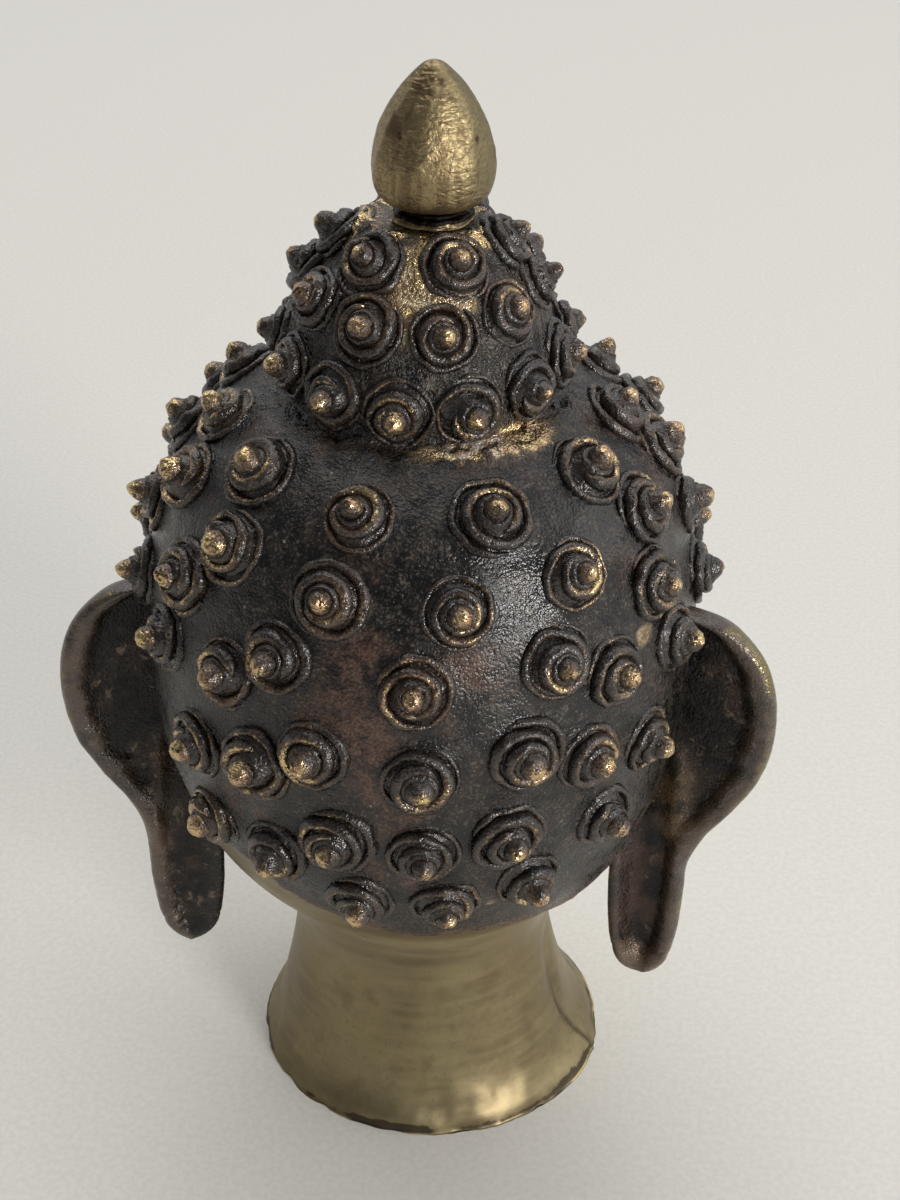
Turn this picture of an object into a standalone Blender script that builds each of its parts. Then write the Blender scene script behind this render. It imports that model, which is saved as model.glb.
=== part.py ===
"""A cast brass head of the Buddha on a flared neck: hollow, with snail-shell curls and a brazed-on bud at the top."""

import math

import bmesh
import bpy
from mathutils import Matrix, Vector

# Driving sizes, in metres
BUST_HEIGHT = 0.156
WALL = 0.0026
JOINT_GAP = 0.0003
FINIAL_HEIGHT = 0.022
FINIAL_RADIUS = 0.00875
COLLAR_RADIUS = 0.0056
OFF_CENTRE = 0.0015
CURL_RADIUS = 0.0053
CURL_HEIGHT = 0.0058
TOP_KNOT_CURL_RADIUS = 0.0048
TOP_KNOT_CURL_HEIGHT = 0.0052
CURL_ROOT = 0.0012
EAR_THICKNESS = 0.0022
EAR_RIM = 0.0036
SEAT_MARGIN = 0.0019

# The free form is drawn in modules, 156 to the height of the bust, from its flat base to the flat top of the top-knot
MODULE = BUST_HEIGHT / 156
SEAT = (COLLAR_RADIUS + SEAT_MARGIN) / MODULE

# Rings of the skin, from the foot of the neck upwards: height in front, at the sides and behind, then reach likewise
RINGS = (
    (0, 0, 0, 32, 31, 28.5),
    (8, 8, 8, 27.5, 26.5, 24),
    (27, 27, 28, 23, 22.3, 20.3),
    (36, 36, 36, 24.5, 23.8, 22),
    (41.5, 44, 44, 32.5, 28.5, 27),
    (46, 52, 52, 38.3, 34.2, 34),
    (60, 62, 62, 42, 38.6, 40.5),
    (70, 73, 73, 43, 41, 44.5),
    (88, 88, 88, 43.5, 42.3, 46),
    (98, 99, 99, 43.3, 41.8, 45),
    (112, 111, 112, 41.5, 39.4, 41),
    (121, 121, 122, 36.5, 35, 35.5),
    (129.3, 129.3, 129.3, 25.5, 25, 26),
    (131.5, 131.5, 131.5, 19.7, 19.5, 21),
    (138, 138, 138, 19.3, 19.3, 20),
    (147, 147, 147, 15.8, 15.5, 16),
    (153, 153, 153, 11, 10.5, 11),
    (156, 156, 156, SEAT, SEAT, SEAT),
)
FOOT_RINGS = 2.5
TOP_RING = len(RINGS) - 1
TOP_KNOT_RING = 13
ROWS_BETWEEN_RINGS = (2, 2, 1, 2, 2, 5, 4, 6, 3, 3, 2, 1, 1, 1, 2, 1, 1)
COLUMNS_EACH_SIDE = 18
COLUMN_CROWDING = 1.5
CORE_COLUMNS = 18
CORE_TOP_RING = TOP_RING - 1.0
CORE_ROWS = 13

# Soft mounds of the face, alike on both sides: middle aside and up, reach aside and up, how far it stands out
FACE_MOUNDS = {
    "forehead": (0, 103, 27, 10, 0.9),
    "nostril wing": (5.4, 72.6, 3.4, 3.2, 2.2),
    "eye socket": (16, 89, 12, 4.6, -1.3),
    "lowered lid": (16.6, 86.2, 9.4, 4.4, 3.9),
    "cheek": (23, 72.5, 13, 10, 1.6),
    "muzzle": (0, 62, 15, 8.5, 3.0),
    "chin": (0, 51.4, 10, 5.4, 3.6),
}
FACE_TOP = 112

# The nose: height, how far it stands out and half width, at its root and at its tip
NOSE_ROOT = (93, 1.9, 2.9)
NOSE_TIP = (71.5, 9.2, 5.0)
NOSE_SLOPE = 1.3
NOSE_ROUNDNESS = 2.4
NOSE_ROOT_FADE = (98, 91)
NOSE_UNDERSIDE = 70.1
NOSE_UNDERSIDE_STEEPNESS = 2.2

# Brows: from where to where aside, height at the ends, rise of the arch, half thickness, how far they stand out
BROW = (2.5, 33, 92, 5.4, 2.2, 2.5)
BROW_PEAK_SHIFT = 0.8
BROW_TAIL = 1 / 6

# Lips: half width of the mouth, then height, half thickness and how far out for the upper and the lower lip
MOUTH_HALF = 13
LIPS = ((64.4, 1.7, 2.2), (59.5, 2.0, 2.5))
SMILE = 0.018

# The hair's edge lies in one sloping plane, from the nape up over the ears to the forehead
HAIRLINE_MIDDLE = 84
HAIRLINE_SLOPE = 0.62
HAIRLINE_MARGIN = 7.4

# Rows of curls: height behind, number round the head, degrees from the middle of the back to the first one,
# rise towards the ears, and lift of the curls behind each ear
CURL_ROWS = (
    (68.5, 21, 11, 6, 8),
    (80, 22, 6.5, 10, 9),
    (93.2, 18, 6, 10, 6),
    (105.7, 13, 5, 8, 0),
    (115.8, 14, 13, 6, 0),
    (125, 11, 23, 2, 0),
    (136, 13, -3, 2, 0),
    (145.5, 10, 16, 2, 0),
    (152.6, 6, -31, 0, 0),
)
CURLS_MIDDLE = math.radians(6)
CURL_LIFT_TURN = math.radians(36)
CURL_LIFT_SPREAD = math.radians(11)
CURL_SIDES = 6
CURL_SPIN = 0.7

# Profiles from the top down, across and up, as shares of the radius and height of each
CURL_PROFILE = ((0, 1), (0.33, 0.84), (0.5, 0.46), (0.96, 0.3))
BUD_PROFILE = ((0, 1), (0.12, 0.985), (0.34, 0.92), (0.62, 0.78), (0.85, 0.61), (0.98, 0.43), (1, 0.34), (0.95, 0.23))
COLLAR_PROFILE = ((0.98, 0.125), (0.86, 0.085), (1, 0.06), (1, 0), (0, 0))
FINIAL_SIDES = 20

# The ear's footprint on the side of the head, clear of curls
EAR_TURN = (math.radians(64), math.radians(118))
EAR_TOP = 102

# Below this height an ear's lobe starts to hang free, as a trough open behind
LOBE_TOP = 62
LOBE_START = 8
LOBE_HOLLOW = 2.4
NARROWEST_EAR_IN_ROLLS = 4.8
FULL_TROUGH_IN_RIMS = 3

# Stations down an ear: height, inner edge and outer edge out from the middle, how far back each edge stands
EAR_STATIONS = (
    (101, 37, 43.5, 9, 12),
    (99.2, 36.5, 49, 8, 12.5),
    (95, 36.5, 52.4, 7.5, 13),
    (90, 36.8, 54.8, 7.5, 13.6),
    (84, 37, 56.1, 7.5, 14),
    (78, 37, 56, 7.5, 14.2),
    (72, 36.5, 54.6, 8, 14.2),
    (65.5, 35, 51.2, 9, 14),
    (59.5, 33, 47, 10.5, 14),
    (54, 32.3, 44.8, 12, 14),
    (47, 32.2, 44.5, 12.5, 14),
    (40, 32.6, 44.2, 13, 14),
    (33.5, 34, 42.8, 13, 14),
    (29.2, 36.2, 40.7, 13.4, 14),
)

# Section of an ear, from the root's back round the rim to the root's front. Along: share of the span, then rolls.
# Behind: lips, rolls, half thicknesses of the plate, depths of the trough
EAR_SECTION = (
    (0, 0, 1, 0, 0, 0),
    (0, 0.9, 1, 0, 0, 0),
    (0, 1.9, 0, 0, 1, -1),
    (1, -2.6, 0, 0, 1, -1),
    (1, -1.7, 0, 1, 0, 0),
    (1, -0.5, 0, 1, 0, 0),
    (1, 0, 0, 0, 0, 0),
    (1, -0.5, 0, -1, 0, 0),
    (1, -2.2, 0, -0.2, -1, -1),
    (0, 1.2, 0, 0, -1, -1),
    (0, 0, 0, 0, -1, 0),
)

SMOOTH_UP_TO = math.radians(40)
NORMAL_STEP = 0.02
HALVINGS = 30
MOUND_STEEPNESS = 1.6
MOUND_FLATNESS = 1.3


def at(values, t):
    """The value at t on a smooth curve through evenly spaced tuples of numbers."""
    last = len(values) - 1
    i = min(int(t), last - 1)
    f = t - i
    before, here, after, beyond = (values[max(0, min(last, i + k))] for k in (-1, 0, 1, 2))
    return [
        0.5 * (2 * b + (c - a) * f + (2 * a - 5 * b + 4 * c - d) * f**2 + (3 * b - a - 3 * c + d) * f**3)
        for a, b, c, d in zip(before, here, after, beyond)
    ]


def skin(turn, t):
    """A point of the smooth skin: turn goes from the face towards the left ear, t from ring to ring."""
    front_z, side_z, back_z, front_r, side_r, back_r = at(RINGS, t)
    end_z, end_r = (front_z, front_r) if math.cos(turn) > 0 else (back_z, back_r)
    height = side_z + (end_z - side_z) * math.cos(turn) ** 2
    point = Vector((side_r * math.sin(turn), -end_r * math.cos(turn), height)) * MODULE
    point.x -= OFF_CENTRE * max(0, 1 - t / FOOT_RINGS) ** 2
    return point


def skin_normal(turn, t):
    """The outward normal of the smooth skin."""
    around = skin(turn + NORMAL_STEP, t) - skin(turn - NORMAL_STEP, t)
    low = max(0, t - NORMAL_STEP)
    high = min(TOP_RING, t + NORMAL_STEP)
    along = skin(turn, high) - skin(turn, low)
    return around.cross(along).normalized()


def mound(x, z, middle_x, middle_z, reach_x, reach_z):
    """A soft round mound of height one."""
    across = ((x - middle_x) / reach_x) ** 2 + ((z - middle_z) / reach_z) ** 2
    return math.exp(-MOUND_STEEPNESS * across**MOUND_FLATNESS)


def between(low, high, value):
    """Where a value lies from low to high, from 0 to 1."""
    return max(0, min(1, (value - low) / (high - low)))


def nose(side, z):
    """The nose widens and rises from the brow to the tip, then turns under."""
    root_z, root_out, root_half = NOSE_ROOT
    tip_z, tip_out, tip_half = NOSE_TIP
    down = between(root_z, tip_z, z)
    out = root_out + (tip_out - root_out) * down**NOSE_SLOPE
    half = root_half + (tip_half - root_half) * down
    above = between(*NOSE_ROOT_FADE, z)
    under = 1 / (1 + math.exp(NOSE_UNDERSIDE_STEEPNESS * (NOSE_UNDERSIDE - z)))
    return out * above * under * math.exp(-((side / half) ** NOSE_ROUNDNESS))


def brow(side, z):
    """An arched brow, fading at its outer end."""
    inner, outer, ends_z, rise, half, out = BROW
    along = between(inner, outer, side)
    arch = ends_z + rise * math.sin(math.pi * along**BROW_PEAK_SHIFT)
    return out * between(0, BROW_TAIL, 1 - along) * math.exp(-(((z - arch) / half) ** 2))


def lips(side, z):
    """Two full lips that curve up a little at the corners."""
    if side >= MOUTH_HALF:
        return 0
    taper = math.cos(side / MOUTH_HALF * math.pi / 2)
    lift = SMILE * side**2
    return sum(out * taper * math.exp(-(((z - height - lift) / half) ** 2)) for height, half, out in LIPS)


def face_relief(x, z):
    """How far the face stands forward of the smooth skin at a place seen from the front, in modules."""
    side = abs(x)
    relief = sum(out * mound(side, z, *place) for *place, out in FACE_MOUNDS.values())
    return relief + nose(side, z) + brow(side, z) + lips(side, z)


def carved(turn, t):
    """A point of the skin with the face worked into it."""
    point = skin(turn, t)
    if math.cos(turn) > 0 and point.z < FACE_TOP * MODULE:
        facing = max(0, math.cos(turn)) ** 0.5
        point.y -= facing * face_relief(point.x / MODULE, point.z / MODULE) * MODULE
    return point


def loft(name, rings):
    """A closed mesh through rings of points, each ring running towards the left ear, from the bottom up."""
    bm = bmesh.new()
    rows = [[bm.verts.new(point) for point in ring] for ring in rings]
    for lower, upper in zip(rows, rows[1:]):
        count = len(lower)
        for k in range(count):
            beyond = (k + 1) % count
            bm.faces.new((lower[k], lower[beyond], upper[beyond], upper[k]))
    bm.faces.new(reversed(rows[0]))
    bm.faces.new(rows[-1])
    mesh = bpy.data.meshes.new(name)
    bm.to_mesh(mesh)
    bm.free()
    return mesh


def material(name, colour, roughness):
    """Brass under its own patina."""
    made = bpy.data.materials.new(name)
    made.use_nodes = True
    shader = made.node_tree.nodes["Principled BSDF"]
    shader.inputs["Base Color"].default_value = (*colour, 1)
    shader.inputs["Roughness"].default_value = roughness
    shader.inputs["Metallic"].default_value = 1
    return made


def collection(name):
    made = bpy.data.collections.new(name)
    bpy.context.scene.collection.children.link(made)
    return made


def place(name, mesh, home, finish):
    """An object of this mesh in a collection, smooth where it curves."""
    made = bpy.data.objects.new(name, mesh)
    home.objects.link(made)
    mesh.materials.append(finish)
    mesh.shade_smooth()
    mesh.set_sharp_from_angle(angle=SMOOTH_UP_TO)
    return made


def helper(name, mesh, home, finish):
    """An object that only takes part in a Boolean."""
    made = place(name, mesh, home, finish)
    made.hide_render = True
    made.display_type = "WIRE"
    return made


def combine(piece, other, operation):
    step = piece.modifiers.new(f"{operation.lower()} {other.name}", "BOOLEAN")
    step.operation = operation
    step.object = other
    step.solver = "EXACT"
    step.use_self = True
    step.material_mode = "TRANSFER"


def turned(name, profile, sides):
    """A mesh turned about Z from a profile that runs from the top down."""
    bm = bmesh.new()
    verts = [bm.verts.new((radius, 0, height)) for radius, height in profile]
    for upper, lower in zip(verts, verts[1:]):
        bm.edges.new((upper, lower))
    outline = bpy.data.meshes.new(name)
    bm.to_mesh(outline)
    bm.free()
    spun = bpy.data.objects.new(name, outline)
    bpy.context.scene.collection.objects.link(spun)
    screw = spun.modifiers.new("turn", "SCREW")
    screw.steps = sides
    screw.render_steps = sides
    screw.use_merge_vertices = True
    screw.merge_threshold = 0.00005
    bpy.context.view_layer.update()
    mesh = bpy.data.meshes.new_from_object(spun.evaluated_get(bpy.context.evaluated_depsgraph_get()))
    bpy.data.objects.remove(spun)
    return mesh


def skin_mesh():
    """The outside of the neck, face, skull and top-knot, finest over the face."""
    half = [math.pi * (k / COLUMNS_EACH_SIDE) ** COLUMN_CROWDING for k in range(COLUMNS_EACH_SIDE + 1)]
    turns = half + [-turn for turn in reversed(half[1:-1])]
    levels = [ring + k / rows for ring, rows in enumerate(ROWS_BETWEEN_RINGS) for k in range(rows)]
    return loft("head", [[carved(turn, t) for turn in turns] for t in [*levels, TOP_RING]])


def core_mesh():
    """The hollow, one wall inside the smooth skin and open at the foot."""
    turns = [math.tau * k / CORE_COLUMNS for k in range(CORE_COLUMNS)]
    levels = [CORE_TOP_RING * k / CORE_ROWS for k in range(CORE_ROWS + 1)]
    rings = [[skin(turn, t) - skin_normal(turn, t) * WALL for turn in turns] for t in levels]
    foot = [Vector((point.x, point.y, -2 * WALL)) for point in rings[0]]
    return loft("core", [foot, *rings])


def ring_at_height(turn, height, low, high):
    """The t between two rings at which the skin reaches a height."""
    for _ in range(HALVINGS):
        middle = (low + high) / 2
        if skin(turn, middle).z < height:
            low = middle
        else:
            high = middle
    return (low + high) / 2


def curl_places():
    """Where each curl sits: a point on the skin, its normal, and whether it is on the top-knot."""
    places = []
    for height, count, first, rise, lift in CURL_ROWS:
        on_top_knot = height > RINGS[TOP_KNOT_RING][0]
        low, high = (TOP_KNOT_RING, TOP_RING) if on_top_knot else (4, TOP_KNOT_RING - 0.5)
        for k in range(count):
            back = math.radians(first) + k * math.tau / count
            aside = (back - CURLS_MIDDLE + math.pi) % math.tau - math.pi
            bulge = math.exp(-(((abs(aside) - CURL_LIFT_TURN) / CURL_LIFT_SPREAD) ** 2))
            level = height + rise * math.sin(aside) ** 2 + lift * bulge
            turn = math.pi + back
            t = ring_at_height(turn, level * MODULE, low, high)
            point = skin(turn, t)
            edge = HAIRLINE_MIDDLE * MODULE - HAIRLINE_SLOPE * point.y
            beside_ear = EAR_TURN[0] < abs(aside) < EAR_TURN[1] and level < EAR_TOP
            if point.z > edge + HAIRLINE_MARGIN * MODULE and not beside_ear:
                places.append((point, skin_normal(turn, t), on_top_knot))
    return places


def curl_mesh(radius, height):
    """One snail-shell curl: a stepped cone with a knob, and a root below the skin."""
    profile = [(radius * across, height * up) for across, up in CURL_PROFILE]
    return turned("curl", [*profile, (radius, -CURL_ROOT), (0, -CURL_ROOT)], CURL_SIDES)


def curls_mesh():
    """All the curls, standing on the skin and rooted in it."""
    large = curl_mesh(CURL_RADIUS, CURL_HEIGHT)
    small = curl_mesh(TOP_KNOT_CURL_RADIUS, TOP_KNOT_CURL_HEIGHT)
    bm = bmesh.new()
    for index, (point, normal, on_top_knot) in enumerate(curl_places()):
        spin = Matrix.Rotation(index * CURL_SPIN, 4, "Z")
        stand = normal.to_track_quat("Z", "Y").to_matrix().to_4x4()
        copy = (small if on_top_knot else large).copy()
        copy.transform(Matrix.Translation(point) @ stand @ spin)
        bm.from_mesh(copy)
        bpy.data.meshes.remove(copy)
    mesh = bpy.data.meshes.new("curls")
    bm.to_mesh(mesh)
    bm.free()
    return mesh


def ear_ring(station, side):
    """The section of an ear at one height: a thin plate with a thick rolled rim, bent into a trough at the lobe."""
    height, inner, outer, inner_back, outer_back = station
    root = Vector((inner, inner_back, height)) * MODULE
    rim = Vector((outer, outer_back, height)) * MODULE
    out = (rim - root).normalized()
    back = Vector((-out.y, out.x, 0))
    span = (rim - root).length
    half = EAR_THICKNESS / 2
    roll = min(EAR_RIM / 2, span / NARROWEST_EAR_IN_ROLLS)
    free = between(LOBE_TOP, LOBE_TOP - LOBE_START, height)
    lip = half + (roll - half) * free
    hollow = LOBE_HOLLOW * MODULE * free * min(1, span / (FULL_TROUGH_IN_RIMS * EAR_RIM))
    ring = []
    for share, rolls, lips_behind, rolls_behind, halves_behind, hollows_behind in EAR_SECTION:
        along = share * span + rolls * roll
        behind = lips_behind * lip + rolls_behind * roll + halves_behind * half + hollows_behind * hollow
        point = root + out * along + back * behind
        ring.append(Vector((side * point.x, point.y, point.z)))
    return ring


def ears_mesh():
    """Both long-lobed ears, their inner edges rooted in the head."""
    bm = bmesh.new()
    for side in (-1, 1):
        rings = [ear_ring(station, side) for station in reversed(EAR_STATIONS)]
        if side > 0:
            rings = [ring[::-1] for ring in rings]
        mesh = loft("ear", rings)
        bm.from_mesh(mesh)
        bpy.data.meshes.remove(mesh)
    bmesh.ops.recalc_face_normals(bm, faces=bm.faces)
    mesh = bpy.data.meshes.new("ears")
    bm.to_mesh(mesh)
    bm.free()
    return mesh


def finial_mesh():
    """The bud, turned from its profile: the drop, a groove, then the collar that it stands on."""
    bud = [(FINIAL_RADIUS * across, FINIAL_HEIGHT * up) for across, up in BUD_PROFILE]
    collar = [(COLLAR_RADIUS * across, FINIAL_HEIGHT * up) for across, up in COLLAR_PROFILE]
    return turned("finial", bud + collar, FINIAL_SIDES)


for leftover in list(bpy.data.objects):
    bpy.data.objects.remove(leftover)

parts = collection("brass_buddha_head")
cutters = collection("cutters")
patina = material("dark patina", (0.035, 0.026, 0.02), 0.42)
bare = material("bare brass", (0.3, 0.25, 0.13), 0.38)

head = place("head", skin_mesh(), parts, bare)
head.data.materials.append(patina)
for face in head.data.polygons:
    if face.center.z > HAIRLINE_MIDDLE * MODULE - HAIRLINE_SLOPE * face.center.y:
        face.material_index = 1
combine(head, helper("ears", ears_mesh(), cutters, patina), "UNION")
combine(head, helper("curls", curls_mesh(), cutters, patina), "UNION")
combine(head, helper("core", core_mesh(), cutters, bare), "DIFFERENCE")

finial = place("finial", finial_mesh(), parts, bare)
finial.location = (-OFF_CENTRE, 0, BUST_HEIGHT + JOINT_GAP)
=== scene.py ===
"""A cast brass head with snail-shell curls, a top-knot and a filed bud, in its dark patina, over the frame."""
from math import cos, pi, radians, sin, tau

import bpy
import numpy as np
from mathutils import Matrix, Vector, noise


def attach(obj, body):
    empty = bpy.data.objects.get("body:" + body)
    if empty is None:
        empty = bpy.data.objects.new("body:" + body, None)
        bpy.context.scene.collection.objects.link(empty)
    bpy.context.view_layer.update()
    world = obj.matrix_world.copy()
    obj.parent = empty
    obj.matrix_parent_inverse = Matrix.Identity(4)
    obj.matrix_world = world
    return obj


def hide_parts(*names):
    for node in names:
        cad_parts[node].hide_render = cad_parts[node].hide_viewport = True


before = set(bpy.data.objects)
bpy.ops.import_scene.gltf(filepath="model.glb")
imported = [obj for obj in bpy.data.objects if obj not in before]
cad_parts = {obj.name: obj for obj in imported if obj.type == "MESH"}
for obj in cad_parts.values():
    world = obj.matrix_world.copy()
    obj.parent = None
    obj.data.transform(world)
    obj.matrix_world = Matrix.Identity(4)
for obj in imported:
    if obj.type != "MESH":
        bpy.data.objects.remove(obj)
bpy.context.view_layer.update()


# The casting: foot, neck, face, skull and top-knot, one hollow shell of brass two and a half millimetres thick,
# cast from a wax model. Neck and face are brushed bright, and the hair was left under a dark patina that has
# rubbed through to red and brown. All sizes of the head are in millimetres, and angles behind in degrees.
MM = 0.001
WALL = 2.6
OFF_CENTRE = 1.5
FOOT_RINGS = 2.5
HAIR_RING = 4
TOP_KNOT_RING = 13

# Rings of the skin from the foot up: height in front, at the sides and behind, then reach likewise
RINGS = np.array((
    (0, 0, 0, 32, 31, 28.5),
    (8, 8, 8, 27.5, 26.5, 24),
    (27, 27, 28, 23, 22.3, 20.3),
    (36, 36, 36, 24.5, 23.8, 22),
    (41.5, 44, 44, 32.5, 28.5, 27),
    (46, 52, 52, 38.3, 34.2, 34),
    (60, 62, 62, 42, 38.6, 40.5),
    (70, 73, 73, 43, 41, 44.5),
    (88, 88, 88, 43.5, 42.3, 46),
    (98, 99, 99, 43.3, 41.8, 45),
    (112, 111, 112, 41.5, 39.4, 41),
    (121, 121, 122, 36.5, 35, 35.5),
    (129.3, 129.3, 129.3, 25.5, 25, 26),
    (131.5, 131.5, 131.5, 19.7, 19.5, 21),
    (138, 138, 138, 19.3, 19.3, 20),
    (147, 147, 147, 15.8, 15.5, 16),
    (153, 153, 153, 11, 10.5, 11),
    (156, 156, 156, 7.5, 7.5, 7.5),
), float)
TOP_RING = len(RINGS) - 1


def smooth(low, high, value):
    """From 0 at low to 1 at high, easing at both ends."""
    along = np.clip((np.asarray(value, float) - low) / (high - low), 0, 1)
    return along * along * (3 - 2 * along)


def between(value, low, lower, upper, high):
    """One from lower to upper, easing to nothing at low and at high."""
    return smooth(low, lower, value) * smooth(high, upper, value)


def bump(value, middle, width):
    """A round bump of height one."""
    return np.exp(-(((value - middle) / width) ** 2))


def along_curve(values, t):
    """The rows of values read at each t along a smooth curve through them."""
    t = np.clip(t, 0, len(values) - 1)
    low = np.minimum(t.astype(int), len(values) - 2)
    f = (t - low)[:, None]
    before, here, after, beyond = (values[np.clip(low + k, 0, len(values) - 1)] for k in (-1, 0, 1, 2))
    return 0.5 * (
        2 * here + (after - before) * f + (2 * before - 5 * here + 4 * after - beyond) * f**2
        + (3 * here - before - 3 * after + beyond) * f**3
    )


def skin(turn, t):
    """Points of the smooth skin: turn goes from the face towards the left ear, t from ring to ring."""
    turn, t = (np.ravel(values) for values in np.broadcast_arrays(turn, t))
    front_z, side_z, back_z, front_r, side_r, back_r = along_curve(RINGS, t).T
    facing = np.cos(turn) > 0
    end_z = np.where(facing, front_z, back_z)
    end_r = np.where(facing, front_r, back_r)
    x = side_r * np.sin(turn) - OFF_CENTRE * np.clip(1 - t / FOOT_RINGS, 0, 1) ** 2
    z = side_z + (end_z - side_z) * np.cos(turn) ** 2
    return np.stack((x, -end_r * np.cos(turn), z), 1)


def skin_normal(turn, t):
    """Outward normals of the smooth skin."""
    step = 0.02
    around = skin(turn + step, t) - skin(turn - step, t)
    along = skin(turn, np.minimum(TOP_RING, t + step)) - skin(turn, np.maximum(0, t - step))
    normal = np.cross(around, along)
    return normal / np.linalg.norm(normal, axis=1)[:, None]


def noise_at(points, size, seed):
    """Smooth noise at points, its lumps about size across."""
    shift = Vector((seed * 13.7, seed * 5.3, seed * 9.1))
    return np.array([noise.noise(Vector(point) / size + shift) for point in points])


def lumps(points, *layers):
    """Noise of several sizes added up: how much of each, its size and its seed."""
    return sum(much * noise_at(points, size, seed) for much, size, seed in layers)


def mound(side, z, middle, height, reach_aside, reach_up):
    """A soft round mound of height one."""
    return np.exp(-1.6 * (((side - middle) / reach_aside) ** 2 + ((z - height) / reach_up) ** 2) ** 1.3)


def nose(side, z):
    """The nose widens and rises from brow to tip, then turns under, with a wing and a nostril each side."""
    down = np.clip((93 - z) / 21.5, 0, 1)
    out = 1.9 + 7.0 * down**1.3
    half = 2.5 + 2.0 * down
    above = np.clip((98 - z) / 7, 0, 1)
    under = 1 / (1 + np.exp(np.clip(2.2 * (70.1 - z), -50, 50)))
    ridge = out * above * under * np.exp(-((side / half) ** 2.4))
    wing = 2.4 * mound(side, z, 5.0, 72.4, 2.9, 2.9)
    fold = -0.6 * bump(np.hypot(side - 4.8, z - 72.6), 3.5, 0.6) * smooth(4.5, 6.5, side)
    return ridge + wing + fold


def brow(side, z):
    """An arched brow with a crisp upper edge, running into the bridge of the nose."""
    along = np.clip((side - 2.5) / 30.5, 0, 1)
    above = z - (92 + 5.4 * np.sin(pi * along**0.8))
    fade = np.clip((1 - along) * 6, 0, 1)
    ridge = np.where(above > 0, bump(above, 0, 1.3), bump(above, 0, 3.4))
    return fade * (2.0 * ridge - 0.35 * bump(above, 1.6, 0.7))


def eye(side, z):
    """A long half-closed eye: the ball, a full upper lid with its fold and edge, and a soft lower lid."""
    socket = -1.6 * mound(side, z, 16, 89.5, 12, 4.8)
    ball = 3.6 * mound(side, z, 16.6, 86.0, 9.8, 4.8)
    across = (side - 16.8) / 9.8
    almond = np.clip(1 - across**2, 0, 1)
    lash = 84.9 - 1.7 * almond + 1.0 * np.clip(across, 0, 1.3) ** 2
    show = np.sqrt(almond)
    upper = 1.1 * show * smooth(-0.35, 0.25, z - lash) * (1 - smooth(0, 4.5, z - lash))
    slit = -1.0 * show * bump(z, lash - 0.75, 0.6)
    lower = 0.8 * show * bump(z, lash - 2.2, 0.9)
    crease = -0.6 * show * bump(z, 87.6 + 1.9 * almond, 0.55)
    tail = 0.45 * bump(side, 27.5, 1.6) * bump(z, lash + 0.2, 0.8)
    return socket + ball + upper + slit + lower + crease + tail


def mouth(side, z):
    """Full lips that turn up at the corners, each with a crisp outline, and the groove under the nose."""
    taper = np.clip(1 - (side / 13) ** 2, 0, 1)
    middle = 62 + 0.018 * side**2 + 0.5 * bump(side, 0, 2.2) - 0.35 * bump(side, 4.5, 2.5)
    peak = 3.3 * taper**0.7 - 0.9 * bump(side, 0, 1.7)
    above = (z - middle) / np.maximum(peak, 0.25)
    below = (middle - z) / np.maximum(4.2 * taper**0.8, 0.25)
    upper = np.where((above > 0) & (above < 1), 1 - (2 * above - 0.85) ** 2 * 0.75, 0)
    lower = np.where((below > 0) & (below < 1), 1 - (2 * below - 0.95) ** 2 * 0.8, 0)
    lips = np.sqrt(taper) * (2.3 * np.clip(upper, 0, 1) + 2.6 * np.clip(lower, 0, 1))
    parting = -1.2 * bump(z, middle, 0.55) * smooth(15, 12, side)
    corner = -0.8 * mound(side, z, 14, 64.6, 1.8, 1.8)
    groove = -0.7 * bump(side, 0, 1.1) * between(z, 65, 66.5, 69, 70.5)
    muzzle = 3.0 * mound(side, z, 0, 62, 15, 8.5)
    chin = 3.6 * mound(side, z, 0, 51.4, 10, 5.4) - 0.5 * mound(side, z, 0, 56.2, 8, 1.6)
    return lips + parting + corner + groove + muzzle + chin


def face_relief(x, z):
    """How far the face stands forward of the smooth skin, at places seen from the front."""
    side = np.abs(x)
    forehead = 0.9 * mound(side, z, 0, 103, 27, 10)
    cheek = 1.6 * mound(side, z, 23, 72.5, 13, 10)
    return forehead + cheek + nose(side, z) + brow(side, z) + eye(side, z) + mouth(side, z)


def face_hollows(x, z):
    """How deep the face's creases are, where painted shade is laid."""
    around = (face_relief(x, z + 0.9) + face_relief(x, z - 0.9)) / 2
    return np.clip((around - face_relief(x, z) - 0.06) / 0.5, 0, 1)


# Rows of curls: height behind, number round the head, angle behind of the first one, rise towards the ears, and
# lift of the curls just behind each ear
CURL_ROWS = (
    (68.5, 21, 11, 6, 8),
    (80, 22, 6.5, 10, 9),
    (93.2, 18, 6, 10, 6),
    (105.7, 13, 5, 8, 0),
    (115.8, 14, 13, 6, 0),
    (125, 11, 23, 2, 0),
    (136, 13, -3, 2, 0),
    (145.5, 10, 16, 2, 0),
    (152.6, 6, -31, 0, 0),
)
CURL_RADIUS = 5.3
CURLS_MIDDLE = radians(6)
BEHIND_EAR, BEHIND_EAR_REACH = radians(36), radians(11)
# No curl stands in front of the hairline, which slopes from the brow to the ears, or on an ear
HAIRLINE_MIDDLE = 84
HAIRLINE_SLOPE = 0.62
HAIRLINE_MARGIN = 7.4
EAR_TURN = (radians(64), radians(118))
EAR_TOP = 102


def ring_at_height(turn, height, low, high):
    """The t between two rings at which the skin reaches a height."""
    for _ in range(30):
        middle = (low + high) / 2
        if skin(turn, middle)[0, 2] < height:
            low = middle
        else:
            high = middle
    return (low + high) / 2


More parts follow.
